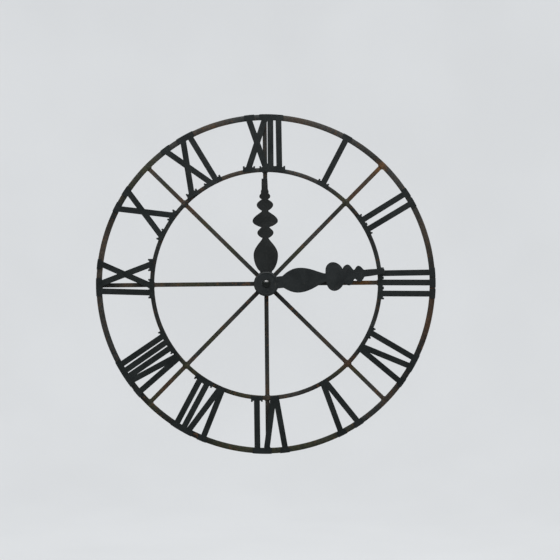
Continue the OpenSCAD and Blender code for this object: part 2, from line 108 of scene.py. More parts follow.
class Paint:
    """A node material made with short calls, each of which returns a socket."""

    def __init__(self, name):
        self.material = bpy.data.materials.new(name)
        self.material.use_nodes = True
        self.tree = self.material.node_tree
        self.shader = self.tree.nodes["Principled BSDF"]
        self.place = self.add("ShaderNodeTexCoord").outputs["Object"]
        self.bumps = None

    def add(self, kind, **settings):
        node = self.tree.nodes.new(kind)
        for key, value in settings.items():
            setattr(node, key, value)
        return node

    def put(self, socket, value):
        if isinstance(value, bpy.types.NodeSocket):
            self.tree.links.new(value, socket)
        else:
            socket.default_value = value

    def math(self, operation, a, b=0.0):
        node = self.add("ShaderNodeMath", operation=operation)
        self.put(node.inputs[0], a)
        self.put(node.inputs[1], b)
        return node.outputs[0]

    def stretched(self, scale):
        """The place, scaled apart along x, y and z, so that a texture on it looks brushed."""
        node = self.add("ShaderNodeMapping")
        self.put(node.inputs["Vector"], self.place)
        node.inputs["Scale"].default_value = scale
        return node.outputs[0]

    def noise(self, scale, detail=3.0, rough=0.55, twist=0.0, at=None):
        node = self.add("ShaderNodeTexNoise")
        self.put(node.inputs["Vector"], at or self.place)
        node.inputs["Scale"].default_value = scale
        node.inputs["Detail"].default_value = detail
        node.inputs["Roughness"].default_value = rough
        node.inputs["Distortion"].default_value = twist
        return node.outputs["Fac"]

    def dents(self, scale):
        """Smooth round hollows, as hammering leaves."""
        node = self.add("ShaderNodeTexVoronoi", feature="SMOOTH_F1")
        self.put(node.inputs["Vector"], self.place)
        node.inputs["Scale"].default_value = scale
        return node.outputs["Distance"]

    def waves(self, scale, direction, twist=0.0, detail=0.0):
        node = self.add("ShaderNodeTexWave", bands_direction=direction)
        self.put(node.inputs["Vector"], self.place)
        node.inputs["Scale"].default_value = scale
        node.inputs["Distortion"].default_value = twist
        node.inputs["Detail"].default_value = detail
        return node.outputs["Fac"]

    def span(self, value, low, high, out_low=0.0, out_high=1.0):
        """Eases from one output to the other as the value goes from low to high."""
        node = self.add("ShaderNodeMapRange", interpolation_type="SMOOTHSTEP")
        for socket, number in zip(node.inputs[:5], (value, low, high, out_low, out_high)):
            self.put(socket, number)
        return node.outputs[0]

    def ramp(self, value, stops):
        """A colour from (place, colour) stops, of which there may be 32."""
        node = self.add("ShaderNodeValToRGB")
        self.put(node.inputs[0], value)
        points = node.color_ramp.elements
        while len(points) < len(stops):
            points.new(1.0)
        for point, (place, colour) in zip(points, sorted(stops, key=lambda s: s[0])):
            point.position = place
            point.color = colour
        return node.outputs["Color"]

    def mix(self, share, a, b, blend="MIX"):
        node = self.add("ShaderNodeMix", data_type="RGBA", blend_type=blend)
        self.put(node.inputs["Factor"], share)
        self.put(node.inputs["A"], a)
        self.put(node.inputs["B"], b)
        return node.outputs["Result"]

    def parts(self):
        """The x, y and z of the place in the object's own frame."""
        node = self.add("ShaderNodeSeparateXYZ")
        self.put(node.inputs[0], self.place)
        return node.outputs

    def from_centre(self):
        """How far east and north of the dial's axis."""
        xyz = self.parts()
        east = self.math("SUBTRACT", xyz["X"], CENTRE_X)
        return east, self.math("SUBTRACT", xyz["Z"], CENTRE_Z)

    def radius(self):
        """Distance from the dial's axis."""
        east, north = self.from_centre()
        squares = self.math(
            "ADD", self.math("MULTIPLY", east, east), self.math("MULTIPLY", north, north)
        )
        return self.math("SQRT", squares)

    def clock_share(self):
        """0 to 1 clockwise from six o'clock, so that twelve is at a half."""
        east, north = self.from_centre()
        turn = self.math("ARCTAN2", east, north)
        return self.math("ADD", self.math("DIVIDE", turn, 2 * math.pi), 0.5)

    def edges(self, width):
        """1 on sharp edges, fading to 0 at that distance from them."""
        bevel = self.add("ShaderNodeBevel", samples=4)
        bevel.inputs["Radius"].default_value = width
        flat = self.add("ShaderNodeNewGeometry").outputs["Normal"]
        turn = self.add("ShaderNodeVectorMath", operation="DOT_PRODUCT")
        self.put(turn.inputs[0], bevel.outputs[0])
        self.put(turn.inputs[1], flat)
        return self.span(turn.outputs["Value"], 0.995, 0.85)

    def bump(self, height, depth, strength=1.0):
        """Adds relief of that depth to the relief so far."""
        node = self.add("ShaderNodeBump")
        node.inputs["Strength"].default_value = strength
        node.inputs["Distance"].default_value = depth
        self.put(node.inputs["Height"], height)
        if self.bumps:
            self.put(node.inputs["Normal"], self.bumps)
        self.bumps = node.outputs[0]

    def done(self, colour, roughness, metallic=0.0, specular=0.5, coat=0.0):
        self.put(self.shader.inputs["Base Color"], colour)
        self.put(self.shader.inputs["Roughness"], roughness)
        self.put(self.shader.inputs["Metallic"], metallic)
        self.put(self.shader.inputs["Specular IOR Level"], specular)
        self.put(self.shader.inputs["Coat Weight"], coat)
        self.put(self.shader.inputs["Coat Roughness"], 0.1)
        if self.bumps:
            self.put(self.shader.inputs["Normal"], self.bumps)
        return self.material


# Colours of old iron under worn black paint
SOOT = rgb(20, 22, 21)
IRON = rgb(33, 34, 32)
SLATE = rgb(42, 45, 44)
ASH = rgb(55, 54, 51)
UMBER = rgb(62, 54, 45)
RUST = rgb(68, 50, 36)
ORANGE = rgb(96, 66, 34)
OLIVE = rgb(50, 51, 36)


def iron(name, tints, along="clock", rusting=0.5, straying=0.02):
    """Old flat bar: worn black paint with brown, olive and rusty stretches. tints are (place,
    colour) pairs along the ring, as clock angles, or along a spoke, as radii in millimetres.
    rusting is how strong the rust flakes are, and straying how far the tints wander."""
    p = Paint(name)
    if along == "clock":
        place = p.clock_share()
        stops = [(((angle + 180) % 360) / 360, colour) for angle, colour in tints]
        seam = min(stops, key=lambda s: s[0])[1]
        stops += [(0.0, seam), (1.0, seam)]
    else:
        place = p.math("DIVIDE", p.radius(), OUTER_R)
        stops = [(mm * MM / OUTER_R, colour) for mm, colour in tints]
    wander = p.math("MULTIPLY", p.math("SUBTRACT", p.noise(14, 2), 0.5), straying)
    stain = p.ramp(p.math("ADD", place, wander), stops)
    broad = p.noise(28, 4, 0.6, 0.4)
    fine = p.noise(170, 5, 0.65)
    grain = p.noise(700, 4, 0.7)
    body = p.mix(p.span(fine, 0.35, 0.65), SOOT, SLATE)
    colour = p.mix(p.span(broad, 0.28, 0.5, 0.35, 1.0), body, stain)
    mottle = p.span(p.math("ADD", fine, p.math("MULTIPLY", grain, 0.6)), 0.62, 0.98, 0.57, 1.11)
    shade = p.add("ShaderNodeVectorMath", operation="SCALE")
    p.put(shade.inputs[0], colour)
    p.put(shade.inputs["Scale"], mottle)
    colour = shade.outputs[0]
    rusty = p.math("ADD", p.noise(90, 5, 0.7), p.math("MULTIPLY", broad, 0.5))
    flakes = p.span(rusty, 0.84, 0.9)
    rim = p.span(rusty, 0.81, 0.85)
    speckle = p.span(grain, 0.6, 0.68)
    colour = p.mix(p.math("MULTIPLY", speckle, 0.4), colour, SOOT)
    colour = p.mix(p.math("MULTIPLY", rim, 0.5 * rusting), colour, RUST)
    patchy = p.mix(p.span(grain, 0.35, 0.65), rgb(70, 46, 28), ORANGE)
    colour = p.mix(p.math("MULTIPLY", flakes, rusting), colour, patchy)
    worn = p.math("MULTIPLY", p.edges(0.9 * MM), p.span(fine, 0.4, 0.56))
    colour = p.mix(p.math("MULTIPLY", worn, 0.6), colour, rgb(84, 74, 64))
    rough = p.span(p.math("ADD", fine, flakes), 0.3, 1.2, 0.5, 0.85)
    p.bump(p.dents(85), 0.7 * MM, 0.5)
    p.bump(fine, 0.6 * MM, 0.7)
    p.bump(grain, 0.2 * MM, 0.8)
    p.bump(p.math("SUBTRACT", 1.0, flakes), 0.15 * MM, 0.8)
    return p.done(colour, rough, specular=0.07)


def black_sheet(name, light, dark, rough, shine):
    """Cut sheet under satin blue-black paint between two tones, with faint mottling, dust, small
    chips and rubbed edges. shine is its specular level."""
    p = Paint(name)
    broad = p.noise(16, 4, 0.6, 0.3)
    fine = p.noise(240, 4, 0.6)
    grain = p.noise(1100, 3, 0.6)
    colour = p.mix(p.span(broad, 0.32, 0.68), dark, light)
    colour = p.mix(p.span(fine, 0.5, 0.75, 0.0, 0.45), colour, rgb(38, 40, 38))
    colour = p.mix(p.span(grain, 0.55, 0.7, 0.0, 0.35), colour, rgb(10, 12, 12))
    dust = p.span(p.noise(60, 5, 0.7, 0.6), 0.58, 0.74)
    colour = p.mix(p.math("MULTIPLY", dust, 0.28), colour, rgb(60, 58, 52))
    chips = p.span(p.noise(380, 4, 0.75), 0.66, 0.7)
    colour = p.mix(p.math("MULTIPLY", chips, 0.6), colour, RUST)
    worn = p.math("MULTIPLY", p.edges(0.6 * MM), p.span(fine, 0.4, 0.58))
    colour = p.mix(p.math("MULTIPLY", worn, 0.6), colour, rgb(84, 80, 74))
    roughness = p.span(p.math("ADD", broad, p.math("MULTIPLY", dust, 0.4)), 0.3, 1.0,
                       rough - 0.06, rough + 0.2)  # fmt: skip
    p.bump(p.noise(120, 3, 0.5), 0.5 * MM, 0.35)
    p.bump(fine, 0.25 * MM, 0.5)
    p.bump(grain, 0.06 * MM, 0.7)
    p.bump(p.math("SUBTRACT", 1.0, chips), 0.08 * MM, 0.7)
    return p.done(colour, roughness, specular=shine)


def polished_dark(name):
    """A smooth, nearly black domed nut that reflects what is above it. The near-black is its own;
    the green cast in it is a painted reflection of green ground.
    """
    p = Paint(name)
    fine = p.noise(300, 4)
    # Near-black of its own, with a slight green cast that is a painted reflection of green ground
    # below
    colour = p.mix(p.span(fine, 0.35, 0.7), rgb(6, 11, 8), rgb(13, 18, 15))
    worn = p.math("MULTIPLY", p.edges(0.4 * MM), p.span(fine, 0.4, 0.6))
    colour = p.mix(p.math("MULTIPLY", worn, 0.4), colour, rgb(80, 80, 76))
    rough = p.span(p.noise(90, 4, 0.7), 0.3, 0.7, 0.1, 0.2)
    p.bump(p.noise(700, 3), 0.03 * MM, 0.5)
    return p.done(colour, rough, specular=0.16)


def metal(name, colour, tarnish, rough=0.3, brushed=(1, 1, 1)):
    """Bare metal with brushing along one direction and dull spots."""
    p = Paint(name)
    brush = p.noise(600, 4, 0.6, at=p.stretched(brushed))
    spots = p.span(p.noise(220, 5, 0.7), 0.52, 0.75)
    tone = p.mix(p.math("MULTIPLY", spots, 0.7), colour, tarnish)
    tone = p.mix(p.span(brush, 0.3, 0.7, 0.0, 0.25), tone, tarnish)
    roughness = p.math(
        "ADD", p.span(brush, 0.3, 0.7, rough - 0.08, rough + 0.08), p.math("MULTIPLY", spots, 0.2)
    )
    p.bump(brush, 0.03 * MM, 0.5)
    return p.done(tone, roughness, metallic=1.0)


def moulded(name, colour, shade, rough=0.45, texture=2600, depth=0.03 * MM, through=0.0):
    """Injection moulded plastic or rubber: fine spark texture, soft mottling, rubbed edges."""
    p = Paint(name)
    broad = p.noise(45, 4, 0.6)
    tone = p.mix(p.span(broad, 0.35, 0.65), shade, colour)
    dust = p.span(p.noise(130, 5, 0.7), 0.55, 0.8)
    lighter = tuple(min(1.0, c * 1.7 + 0.012) for c in colour[:3]) + (1.0,)
    tone = p.mix(p.math("MULTIPLY", dust, 0.35), tone, lighter)
    tone = p.mix(p.math("MULTIPLY", p.edges(0.3 * MM), 0.3), tone, lighter)
    roughness = p.span(broad, 0.3, 0.7, rough - 0.05, rough + 0.08)
    p.bump(p.noise(texture, 2, 0.5), depth, 0.7)
    p.shader.inputs["Subsurface Weight"].default_value = through
    p.shader.inputs["Subsurface Scale"].default_value = 0.5 * MM
    return p.done(tone, roughness, specular=0.45)


def wound_wire(name):
    """Turns of enamelled copper wire, with painted shade in the grooves between turns and painted
    highlights on their crests.
    """
    p = Paint(name)
    turns = p.waves(1100, "X", 0.4, 1.0)
    # Painted shade and highlight: dark copper in the grooves between turns, bright copper on their
    # crests
    tone = p.mix(turns, rgb(96, 42, 16), rgb(198, 112, 58))
    tone = p.mix(p.span(p.noise(500, 3), 0.45, 0.7, 0, 0.4), tone, rgb(150, 70, 30))
    p.bump(turns, 0.06 * MM)
    return p.done(tone, p.span(turns, 0, 1, 0.42, 0.28), metallic=0.7, coat=0.5)


def circuit(name):
    """Green board with copper tracks under the lacquer and a fibre weave."""
    p = Paint(name)
    tracks = p.add("ShaderNodeTexBrick", offset=0.35)
    turned = p.add("ShaderNodeMapping")
    p.put(turned.inputs["Vector"], p.place)
    turned.inputs["Rotation"].default_value = (math.pi / 2, 0, 0)
    p.put(tracks.inputs["Vector"], turned.outputs[0])
    tracks.inputs["Scale"].default_value = 260
    tracks.inputs["Mortar Size"].default_value = 0.07
    weave = p.math("MULTIPLY", p.waves(700, "X"), p.waves(700, "Z"))
    tone = p.mix(weave, rgb(18, 74, 40), rgb(28, 92, 52))
    tone = p.mix(p.math("MULTIPLY", tracks.outputs["Fac"], 0.7), tone, rgb(70, 130, 66))
    p.bump(tracks.outputs["Fac"], 0.04 * MM)
    return p.done(tone, p.span(p.noise(120), 0.3, 0.7, 0.25, 0.4), coat=0.5)


def cell_skin(name):
    """Printed jacket of a dry cell: a dark barrel, a copper coloured end and bare steel ends."""
    p = Paint(name)
    low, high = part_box("battery")
    share = p.math("DIVIDE", p.math("SUBTRACT", p.parts()["X"], low.x), high.x - low.x)
    barrel = rgb(30, 36, 44)
    copper = rgb(190, 118, 62)
    steel = rgb(178, 178, 176)
    bands = [
        (0.0, steel), (0.022, steel), (0.026, barrel), (0.70, barrel), (0.705, copper),
        (0.955, copper), (0.962, steel), (1.0, steel),
    ]  # fmt: skip
    tone = p.ramp(share, bands)
    scuff = p.span(p.noise(350, 5, 0.7, 0.5), 0.58, 0.75)
    tone = p.mix(p.math("MULTIPLY", scuff, 0.3), tone, rgb(120, 122, 124))
    metallic = p.span(share, 0.69, 0.71, 0.35, 1.0)
    p.bump(p.noise(900, 3), 0.02 * MM, 0.5)
    return p.done(tone, p.span(scuff, 0, 1, 0.24, 0.5), metallic=metallic, coat=0.4)


# Stains of each bar: round the rings by clock angle, and along the spokes, in order clockwise
# from twelve, by radius in millimetres
OUTER_TINTS = [
    (0, SLATE), (12, UMBER), (22, ASH), (30, ASH), (43.2, IRON), (44.8, ORANGE),
    (45.9, ORANGE), (47, SLATE), (51, ASH), (62, SLATE), (75, UMBER), (84, IRON), (105, RUST),
    (112, IRON), (126, IRON), (133, UMBER), (138, SLATE), (168, OLIVE), (192, OLIVE), (204, SOOT),
    (219, IRON), (223.5, OLIVE), (227, SOOT), (246, SLATE), (285, UMBER), (294, SOOT),
    (315, OLIVE), (324, SLATE), (342, UMBER), (350, SLATE),
]  # fmt: skip
INNER_TINTS = [
    (0, SLATE), (12, SLATE), (20, ASH), (34, IRON), (44, OLIVE), (49, SOOT), (66, SOOT),
    (80, SLATE), (102, IRON), (112, SLATE), (128, IRON), (135, RUST), (141, OLIVE), (150, SOOT),
    (166, ASH), (180, UMBER), (192, OLIVE), (204, SOOT), (224, OLIVE), (231, SOOT), (252, IRON),
    (262, IRON), (284, IRON), (308, IRON), (316, IRON), (322, SOOT), (342, UMBER),
]  # fmt: skip
SPOKE_TINTS = [
    [(40, SOOT), (400, IRON)],
    [(40, SLATE), (150, OLIVE), (220, ASH), (335, IRON), (385, OLIVE), (420, RUST), (500, UMBER),
     (545, ORANGE)],
    [(40, IRON), (250, IRON), (345, ORANGE), (365, UMBER), (440, SOOT), (520, SOOT)],
    [(40, SOOT), (110, IRON), (160, IRON), (210, SLATE), (280, UMBER), (335, SLATE), (385, RUST),
     (425, OLIVE), (480, ASH), (545, UMBER)],
    [(40, SOOT), (100, IRON), (160, IRON), (280, SLATE), (370, UMBER), (430, IRON), (470, SOOT)],
    [(40, IRON), (110, IRON), (160, ASH), (270, OLIVE), (330, SLATE), (385, UMBER), (425, OLIVE),
     (475, RUST), (535, OLIVE)],
    [(40, IRON), (100, IRON), (240, OLIVE), (370, UMBER), (420, SOOT), (470, UMBER), (520, SOOT)],
    [(40, IRON), (100, SLATE), (160, OLIVE), (220, ASH), (285, OLIVE), (335, UMBER), (385, RUST),
     (430, UMBER), (475, OLIVE), (510, ASH), (540, UMBER)],
]  # fmt: skip

OLD_IRON = iron("weathered_iron", [(0, IRON), (60, UMBER), (150, OLIVE), (250, UMBER)])
NUMERAL_PAINT = black_sheet("numeral_paint", rgb(31, 35, 35), rgb(23, 27, 27), 0.5, 0.05)
MINUTE_PAINT = black_sheet("minute_paint", rgb(26, 30, 31), rgb(19, 23, 24), 0.46, 0.1)
HOUR_PAINT = black_sheet("hour_paint", rgb(22, 25, 25), rgb(15, 18, 18), 0.5, 0.08)
# The collar's paint is far darker than the hands': partly its own black, partly painted shade round
# the cap nut
COLLAR_PAINT_AND_SHADE = black_sheet("collar_paint_and_shade", rgb(9, 12, 11), rgb(5, 7, 6), 0.5, 0.03)
DARK_STEEL_AND_REFLECTION = polished_dark("dark_steel")
BRASS = metal("brass", rgb(206, 166, 92), rgb(122, 92, 48), 0.3)
STEEL = metal("steel", rgb(176, 176, 178), rgb(112, 108, 102), 0.26, (1, 40, 1))
CORE = metal("core_iron", rgb(150, 148, 146), rgb(92, 88, 84), 0.38, (40, 1, 1))
RUBBER = moulded("rubber", rgb(38, 38, 38), rgb(28, 28, 28), 0.75, 1800, 0.05 * MM)
CASE_PLASTIC = moulded("black_plastic", rgb(34, 34, 35), rgb(24, 24, 25), 0.42)
KNOB_PLASTIC = moulded("knob_plastic", rgb(42, 42, 44), rgb(30, 30, 31), 0.36)
BRIDGE_PLASTIC = moulded("bridge_plastic", rgb(46, 46, 48), rgb(34, 34, 36), 0.5)
WHEEL_PLASTIC = moulded(
    "wheel_plastic", rgb(236, 233, 222), rgb(216, 212, 198), 0.36, 3000, 0.01 * MM, 0.2
)
ORANGE_PLASTIC = moulded(
    "motion_plastic", rgb(206, 120, 60), rgb(180, 96, 44), 0.36, 3000, 0.01 * MM, 0.1
)
WINDING_WITH_SHADE = wound_wire("copper_wire")
BOARD = circuit("board")
JACKET = cell_skin("cell_jacket")

FINISH = {
    "outer_ring": iron("outer_ring_iron", OUTER_TINTS),
    "inner_ring": iron("inner_ring_iron", INNER_TINTS),
    "hub_plate": OLD_IRON,
    "hanger_bracket": OLD_IRON,
    "wall_spacers": OLD_IRON,
    "spacer_pads": RUBBER,
    "hour_hand": HOUR_PAINT,
    "minute_hand": MINUTE_PAINT,
    "minute_collar": COLLAR_PAINT_AND_SHADE,
    "cap_nut": DARK_STEEL_AND_REFLECTION,
    "case_front": CASE_PLASTIC,
    "case_back": CASE_PLASTIC,
    "gasket": RUBBER,
    "train_bridge": BRIDGE_PLASTIC,
    "minute_arbor": STEEL,
    "motion_wheel": ORANGE_PLASTIC,
    "rotor": STEEL,
    "stator": CORE,
    "coil_winding": WINDING_WITH_SHADE,
    "circuit_board": BOARD,
    "control_chip": RUBBER,
    "quartz_crystal": STEEL,
    "battery": JACKET,
    "positive_contact": STEEL,
    "negative_contact": STEEL,
    "setting_knob": KNOB_PLASTIC,
}
for name in ("hour_bush", "minute_bush", "mounting_bushing", "mounting_nut", "mounting_washer"):
    FINISH[name] = BRASS
for name in ("centre_wheel", "hour_wheel", "third_wheel", "fourth_wheel", "fifth_wheel"):
    FINISH[name] = WHEEL_PLASTIC
FINISH["coil_bobbin"] = WHEEL_PLASTIC
for number, tints in enumerate(SPOKE_TINTS, 1):
    FINISH[f"spoke_{number}"] = iron(f"spoke_{number}_iron", tints, "radius", straying=0.05)
for hour in range(1, HOURS + 1):
    FINISH[f"numeral_{hour}"] = NUMERAL_PAINT


def coat(piece, material):
    """Gives a piece one material."""
    piece.data.materials.clear()
    piece.data.materials.append(material)


def soften(piece, width, segments=2):
    """Joins the CAD mesh's split points and takes its sharp edges off."""
    weld = piece.modifiers.new("weld", "WELD")
    weld.merge_threshold = 0.002 * MM
    flat = piece.modifiers.new("flat", "DECIMATE")
    flat.decimate_type = "DISSOLVE"
    flat.angle_limit = math.radians(0.3)
    bevel = piece.modifiers.new("bevel", "BEVEL")
    bevel.width = width
    bevel.segments = segments
    bevel.limit_method = "ANGLE"
    bevel.angle_limit = math.radians(40)
    bevel.harden_normals = True


for name, node in NODES.items():
    coat(node, FINISH[name])
for name in ["hub_plate"] + [f"spoke_{i}" for i in range(1, SPOKES + 1)]:
    soften(NODES[name], 0.5 * MM)
for name in [f"numeral_{hour}" for hour in range(1, HOURS + 1)] + ["hour_hand", "minute_hand"]:
    soften(NODES[name], 0.3 * MM)
for name in ("case_front", "case_back", "wall_spacers", "hanger_bracket"):
    soften(NODES[name], 0.35 * MM)
for name in ("mounting_nut", "mounting_washer", "minute_collar", "setting_knob"):
    soften(NODES[name], 0.2 * MM)

# ---------------------------------------------------------------- piece building


def piece_from(name, shape, body, material, smooth=35):
    """Turns a bmesh in the row frame into a piece that rides on a body."""
    bmesh.ops.recalc_face_normals(shape, faces=shape.faces)
    mesh = bpy.data.meshes.new(name)
    shape.to_mesh(mesh)
    shape.free()
    piece = bpy.data.objects.new(name, mesh)
    bpy.context.scene.collection.objects.link(piece)
    mesh.shade_smooth()
    mesh.set_sharp_from_angle(angle=math.radians(smooth))
    coat(piece, material)
    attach(piece, body)
    return piece


def tube(shape, points, radii, around=10):
    """A closed tube through points with a radius at each."""
    rings = []
    for i, point in enumerate(points):
        ahead = points[min(i + 1, len(points) - 1)] - points[max(i - 1, 0)]
        side = ahead.normalized().cross(Vector((0, 1, 0)))
        if side.length < 1e-4:
            side = ahead.normalized().cross(Vector((1, 0, 0)))
        side.normalize()
        up = side.cross(ahead.normalized())
        rings.append(
            [
                shape.verts.new(
                    point
                    + radii[i] * math.cos(2 * math.pi * k / around) * side
                    + radii[i] * math.sin(2 * math.pi * k / around) * up
                )
                for k in range(around)
            ]
        )
    for a, b in zip(rings, rings[1:]):
        for k in range(around):
            shape.faces.new((a[k], a[(k + 1) % around], b[(k + 1) % around], b[k]))
    shape.faces.new(rings[0][::-1])
    shape.faces.new(rings[-1])


def lathe(shape, centre, axis, profile, around=64, closed=False):
    """A surface of revolution. The profile is (radius, distance along the axis) pairs; it ends on
    the axis at both ends, or closed=True joins its last point to its first to make a ring."""
    axis = Vector(axis).normalized()
    side = axis.orthogonal().normalized()
    up = axis.cross(side)
    rings = []
    for radius, along in profile:
        if radius == 0:
            rings.append([shape.verts.new(centre + along * axis)])
            continue
        rings.append(
            [
                shape.verts.new(
                    centre
                    + along * axis
                    + radius * math.cos(2 * math.pi * k / around) * side
                    + radius * math.sin(2 * math.pi * k / around) * up
                )
                for k in range(around)
            ]
        )
    pairs = list(zip(rings, rings[1:]))
    if closed:
        pairs.append((rings[-1], rings[0]))
    for a, b in pairs:
        for k in range(around):
            corners = [a[k % len(a)], a[(k + 1) % len(a)], b[(k + 1) % len(b)], b[k % len(b)]]
            shape.faces.new(list(dict.fromkeys(corners)))


def ridge(shape, points, width, back, height, loop=False):
    """A raised rib with a narrower top along points (x, z) on a surface that faces the wall.
    back is the surface's distance from the wall; the rib rises from it towards the wall."""
    count = len(points)
    rows = []
    for i, (x, z) in enumerate(points):
        before = points[i - 1] if loop or i else points[i]
        after = points[(i + 1) % count] if loop or i < count - 1 else points[i]
        along = Vector((after[0] - before[0], after[1] - before[1])).normalized()
        across = Vector((-along.y, along.x))
        if loop or 0 < i < count - 1:
            first = Vector((x - before[0], z - before[1])).normalized()
            turn = max(0.35, first.dot(along))
            across = across / turn
        rows.append(
            [
                shape.verts.new(
                    (x + across.x * w * width, -(back - h), z + across.y * w * width)
                )
                for w, h in ((-0.5, -0.1 * MM), (-0.32, height), (0.32, height), (0.5, -0.1 * MM))
            ]
        )
    pairs = list(zip(rows, rows[1:])) + ([(rows[-1], rows[0])] if loop else [])
    for a, b in pairs:
        for k in range(4):
            shape.faces.new((a[k], a[(k + 1) % 4], b[(k + 1) % 4], b[k]))
    if not loop:
        shape.faces.new(rows[0])
        shape.faces.new(rows[-1][::-1])


def rounded_box(low, high, corner, steps=5):
    """Points round a rectangle with rounded corners, anticlockwise."""
    points = []
    for k, (x, z) in enumerate(
        ((high[0], high[1]), (low[0], high[1]), (low[0], low[1]), (high[0], low[1]))
    ):
        cx = x - corner if x == high[0] else x + corner
        cz = z - corner if z == high[1] else z + corner
        for step in range(steps + 1):
            a = math.radians(90 * k + 90 * step / steps)
            points.append((cx + corner * math.cos(a), cz + corner * math.sin(a)))
    return points


RING_STEPS = 480
RING_EASE = 0.5 * MM


def flat_ring(node, outer, inner, seed):
    """A flat ring in place of a CAD ring, with eased edges whose radius strays a little inwards.
    The seed picks how it strays."""
    back, front = RING_BACK, NUMERAL_BACK
    ease, corner = RING_EASE, 0.3 * RING_EASE
    shape = bmesh.new()
    profile = [
        (outer - ease, back), (outer - corner, back + corner), (outer, back + ease),
        (outer, front - ease), (outer - corner, front - corner), (outer - ease, front),
        (inner + ease, front), (inner + corner, front - corner), (inner, front - ease),
        (inner, back + ease), (inner + corner, back + corner), (inner + ease, back),
    ]  # fmt: skip
    lathe(shape, Vector((CENTRE_X, 0, CENTRE_Z)), (0, -1, 0), profile, RING_STEPS, closed=True)
    middle = (outer + inner) / 2
    for v in shape.verts:
        east, north = v.co.x - CENTRE_X, v.co.z - CENTRE_Z
        radius = math.hypot(east, north)
        side = 1 if radius > middle else -1
        wave = noise.noise(Vector((east, north, seed + side)) * 22) * 0.16 * MM
        wave += noise.noise(Vector((east, north, seed + 3 * side)) * 90) * 0.07 * MM
        v.co.x += east / radius * side * (wave - 0.1 * MM)
        v.co.z += north / radius * side * (wave - 0.1 * MM)
    ring = piece_from(f"{node}_bar", shape, "frame", FINISH[node], 50)
    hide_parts(node)


def bead(shape, start, bend, end, radius, dice):
    """A lumpy weld bead along a curve from start to end that is drawn towards bend."""
    length = (end - start).length
    step, ripple = 0.7 * MM, 2.1 * MM
    steps = max(8, int(length / step))
    ripples = length / ripple
    phase = dice.random() * 2 * math.pi
    points, radii = [], []
    for i in range(steps + 1):
        t = i / steps
        points.append(start * (1 - t) ** 2 + bend * (2 * t * (1 - t)) + end * t * t)
        swell = max(0.12, math.sin(math.pi * t)) ** 0.45
        lump = 1 + 0.1 * math.sin(2 * math.pi * ripples * t + phase) + dice.uniform(-0.06, 0.06)
        radii.append(radius * swell * lump)
    tube(shape, points, radii)


def crossing_beads(shape, angle, ring_edge, outward, dice, sides=True):
    """Welds where a ring's edge passes over a spoke: one across the spoke, one in each corner."""
    half = SPOKE_W / 2
    over = 0.7 * MM * outward
    front = RING_BACK + 0.5 * MM
    size = dice.uniform(1.5, 1.9) * MM
    bead(
        shape,
        dial(angle, ring_edge + over, front, 1.2 * MM - half),
        dial(angle, ring_edge + over * 1.6, front + 0.2 * MM, 0),
        dial(angle, ring_edge + over, front, half - 1.2 * MM),
        size,
        dice,
    )
    if not sides:
        return
    for side in (-1, 1):
        leg = dice.uniform(1.6, 3.4) * MM
        inward = dice.uniform(0.4, 0.9) * MM
        bead(
            shape,
            dial(angle, ring_edge + 0.3 * MM * outward, RING_BACK, side * (half + leg)),
            dial(angle, ring_edge + inward * outward, RING_BACK, side * (half + inward)),
            dial(angle, ring_edge + leg * outward, RING_BACK - 0.6 * MM, side * half),
            dice.uniform(1.0, 1.4) * MM,
            dice,
        )


def surface(name):
    """A tree of a CAD node's faces, for asking where its metal is."""
    mesh = NODES[name].data
    return BVHTree.FromPolygons(
        [v.co for v in mesh.vertices], [tuple(face.vertices) for face in mesh.polygons]
    )


def strokes(hour, radius, reach=110):
    """Middles of the strokes of a numeral where it crosses a radius, as offsets along the ring.
    reach is how many millimetres it looks each way."""
    tree = surface(f"numeral_{hour}")
    inside, middles = None, []
    for step in range(-reach, reach + 1):
        aside = step * MM
        hit = tree.ray_cast(
            dial(hour * 30, radius, RING_BACK, aside), Vector((0, -1, 0)), 20 * MM
        )[0]
        if hit and inside is None:
            inside = aside
        if not hit and inside is not None:
            middles.append((inside + aside - MM) / 2)
            inside = None
    return middles


flat_ring("outer_ring", OUTER_R, OUTER_INSIDE_R, seed=1)
flat_ring("inner_ring", INNER_R, INNER_INSIDE_R, seed=11)

dice = random.Random(7)
inner_welds, outer_welds, hub_welds = bmesh.new(), bmesh.new(), bmesh.new()
for i in range(SPOKES):
    angle = i * 360 / SPOKES
    crossing_beads(inner_welds, angle, INNER_R, 1, dice)
    crossing_beads(inner_welds, angle, INNER_INSIDE_R, -1, dice)
    crossing_beads(outer_welds, angle, OUTER_INSIDE_R, -1, dice)
    crossing_beads(hub_welds, angle, HUB_R, 1, dice, sides=False)

WELD_IRON = iron("weld_iron", [(0, IRON), (45, OLIVE), (90, UMBER), (135, UMBER), (180, IRON),
                               (225, OLIVE), (270, UMBER), (315, UMBER)], rusting=0.7)  # fmt: skip
piece_from("inner_ring_welds", inner_welds, "frame", WELD_IRON, 60)
piece_from("outer_ring_welds", outer_welds, "frame", WELD_IRON, 60)
piece_from("hub_welds", hub_welds, "frame", WELD_IRON, 60)

tacks = bmesh.new()
for hour in range(1, HOURS + 1):
    for ring_edge, outward in ((INNER_R, 1), (OUTER_INSIDE_R, -1)):
        for middle in strokes(hour, ring_edge + 9 * MM * outward):
            half = dice.uniform(3.5, 5.5) * MM
            ends = [
                dial(hour * 30, ring_edge + 1.0 * MM * outward, NUMERAL_BACK - 0.5 * MM, middle + s)
                for s in (-half, half)
            ]
            middle_point = (ends[0] + ends[1]) / 2
            bead(tacks, ends[0], middle_point, ends[1], dice.uniform(1.2, 1.6) * MM, dice)
piece_from("numeral_tacks", tacks, "frame", WELD_IRON, 60)

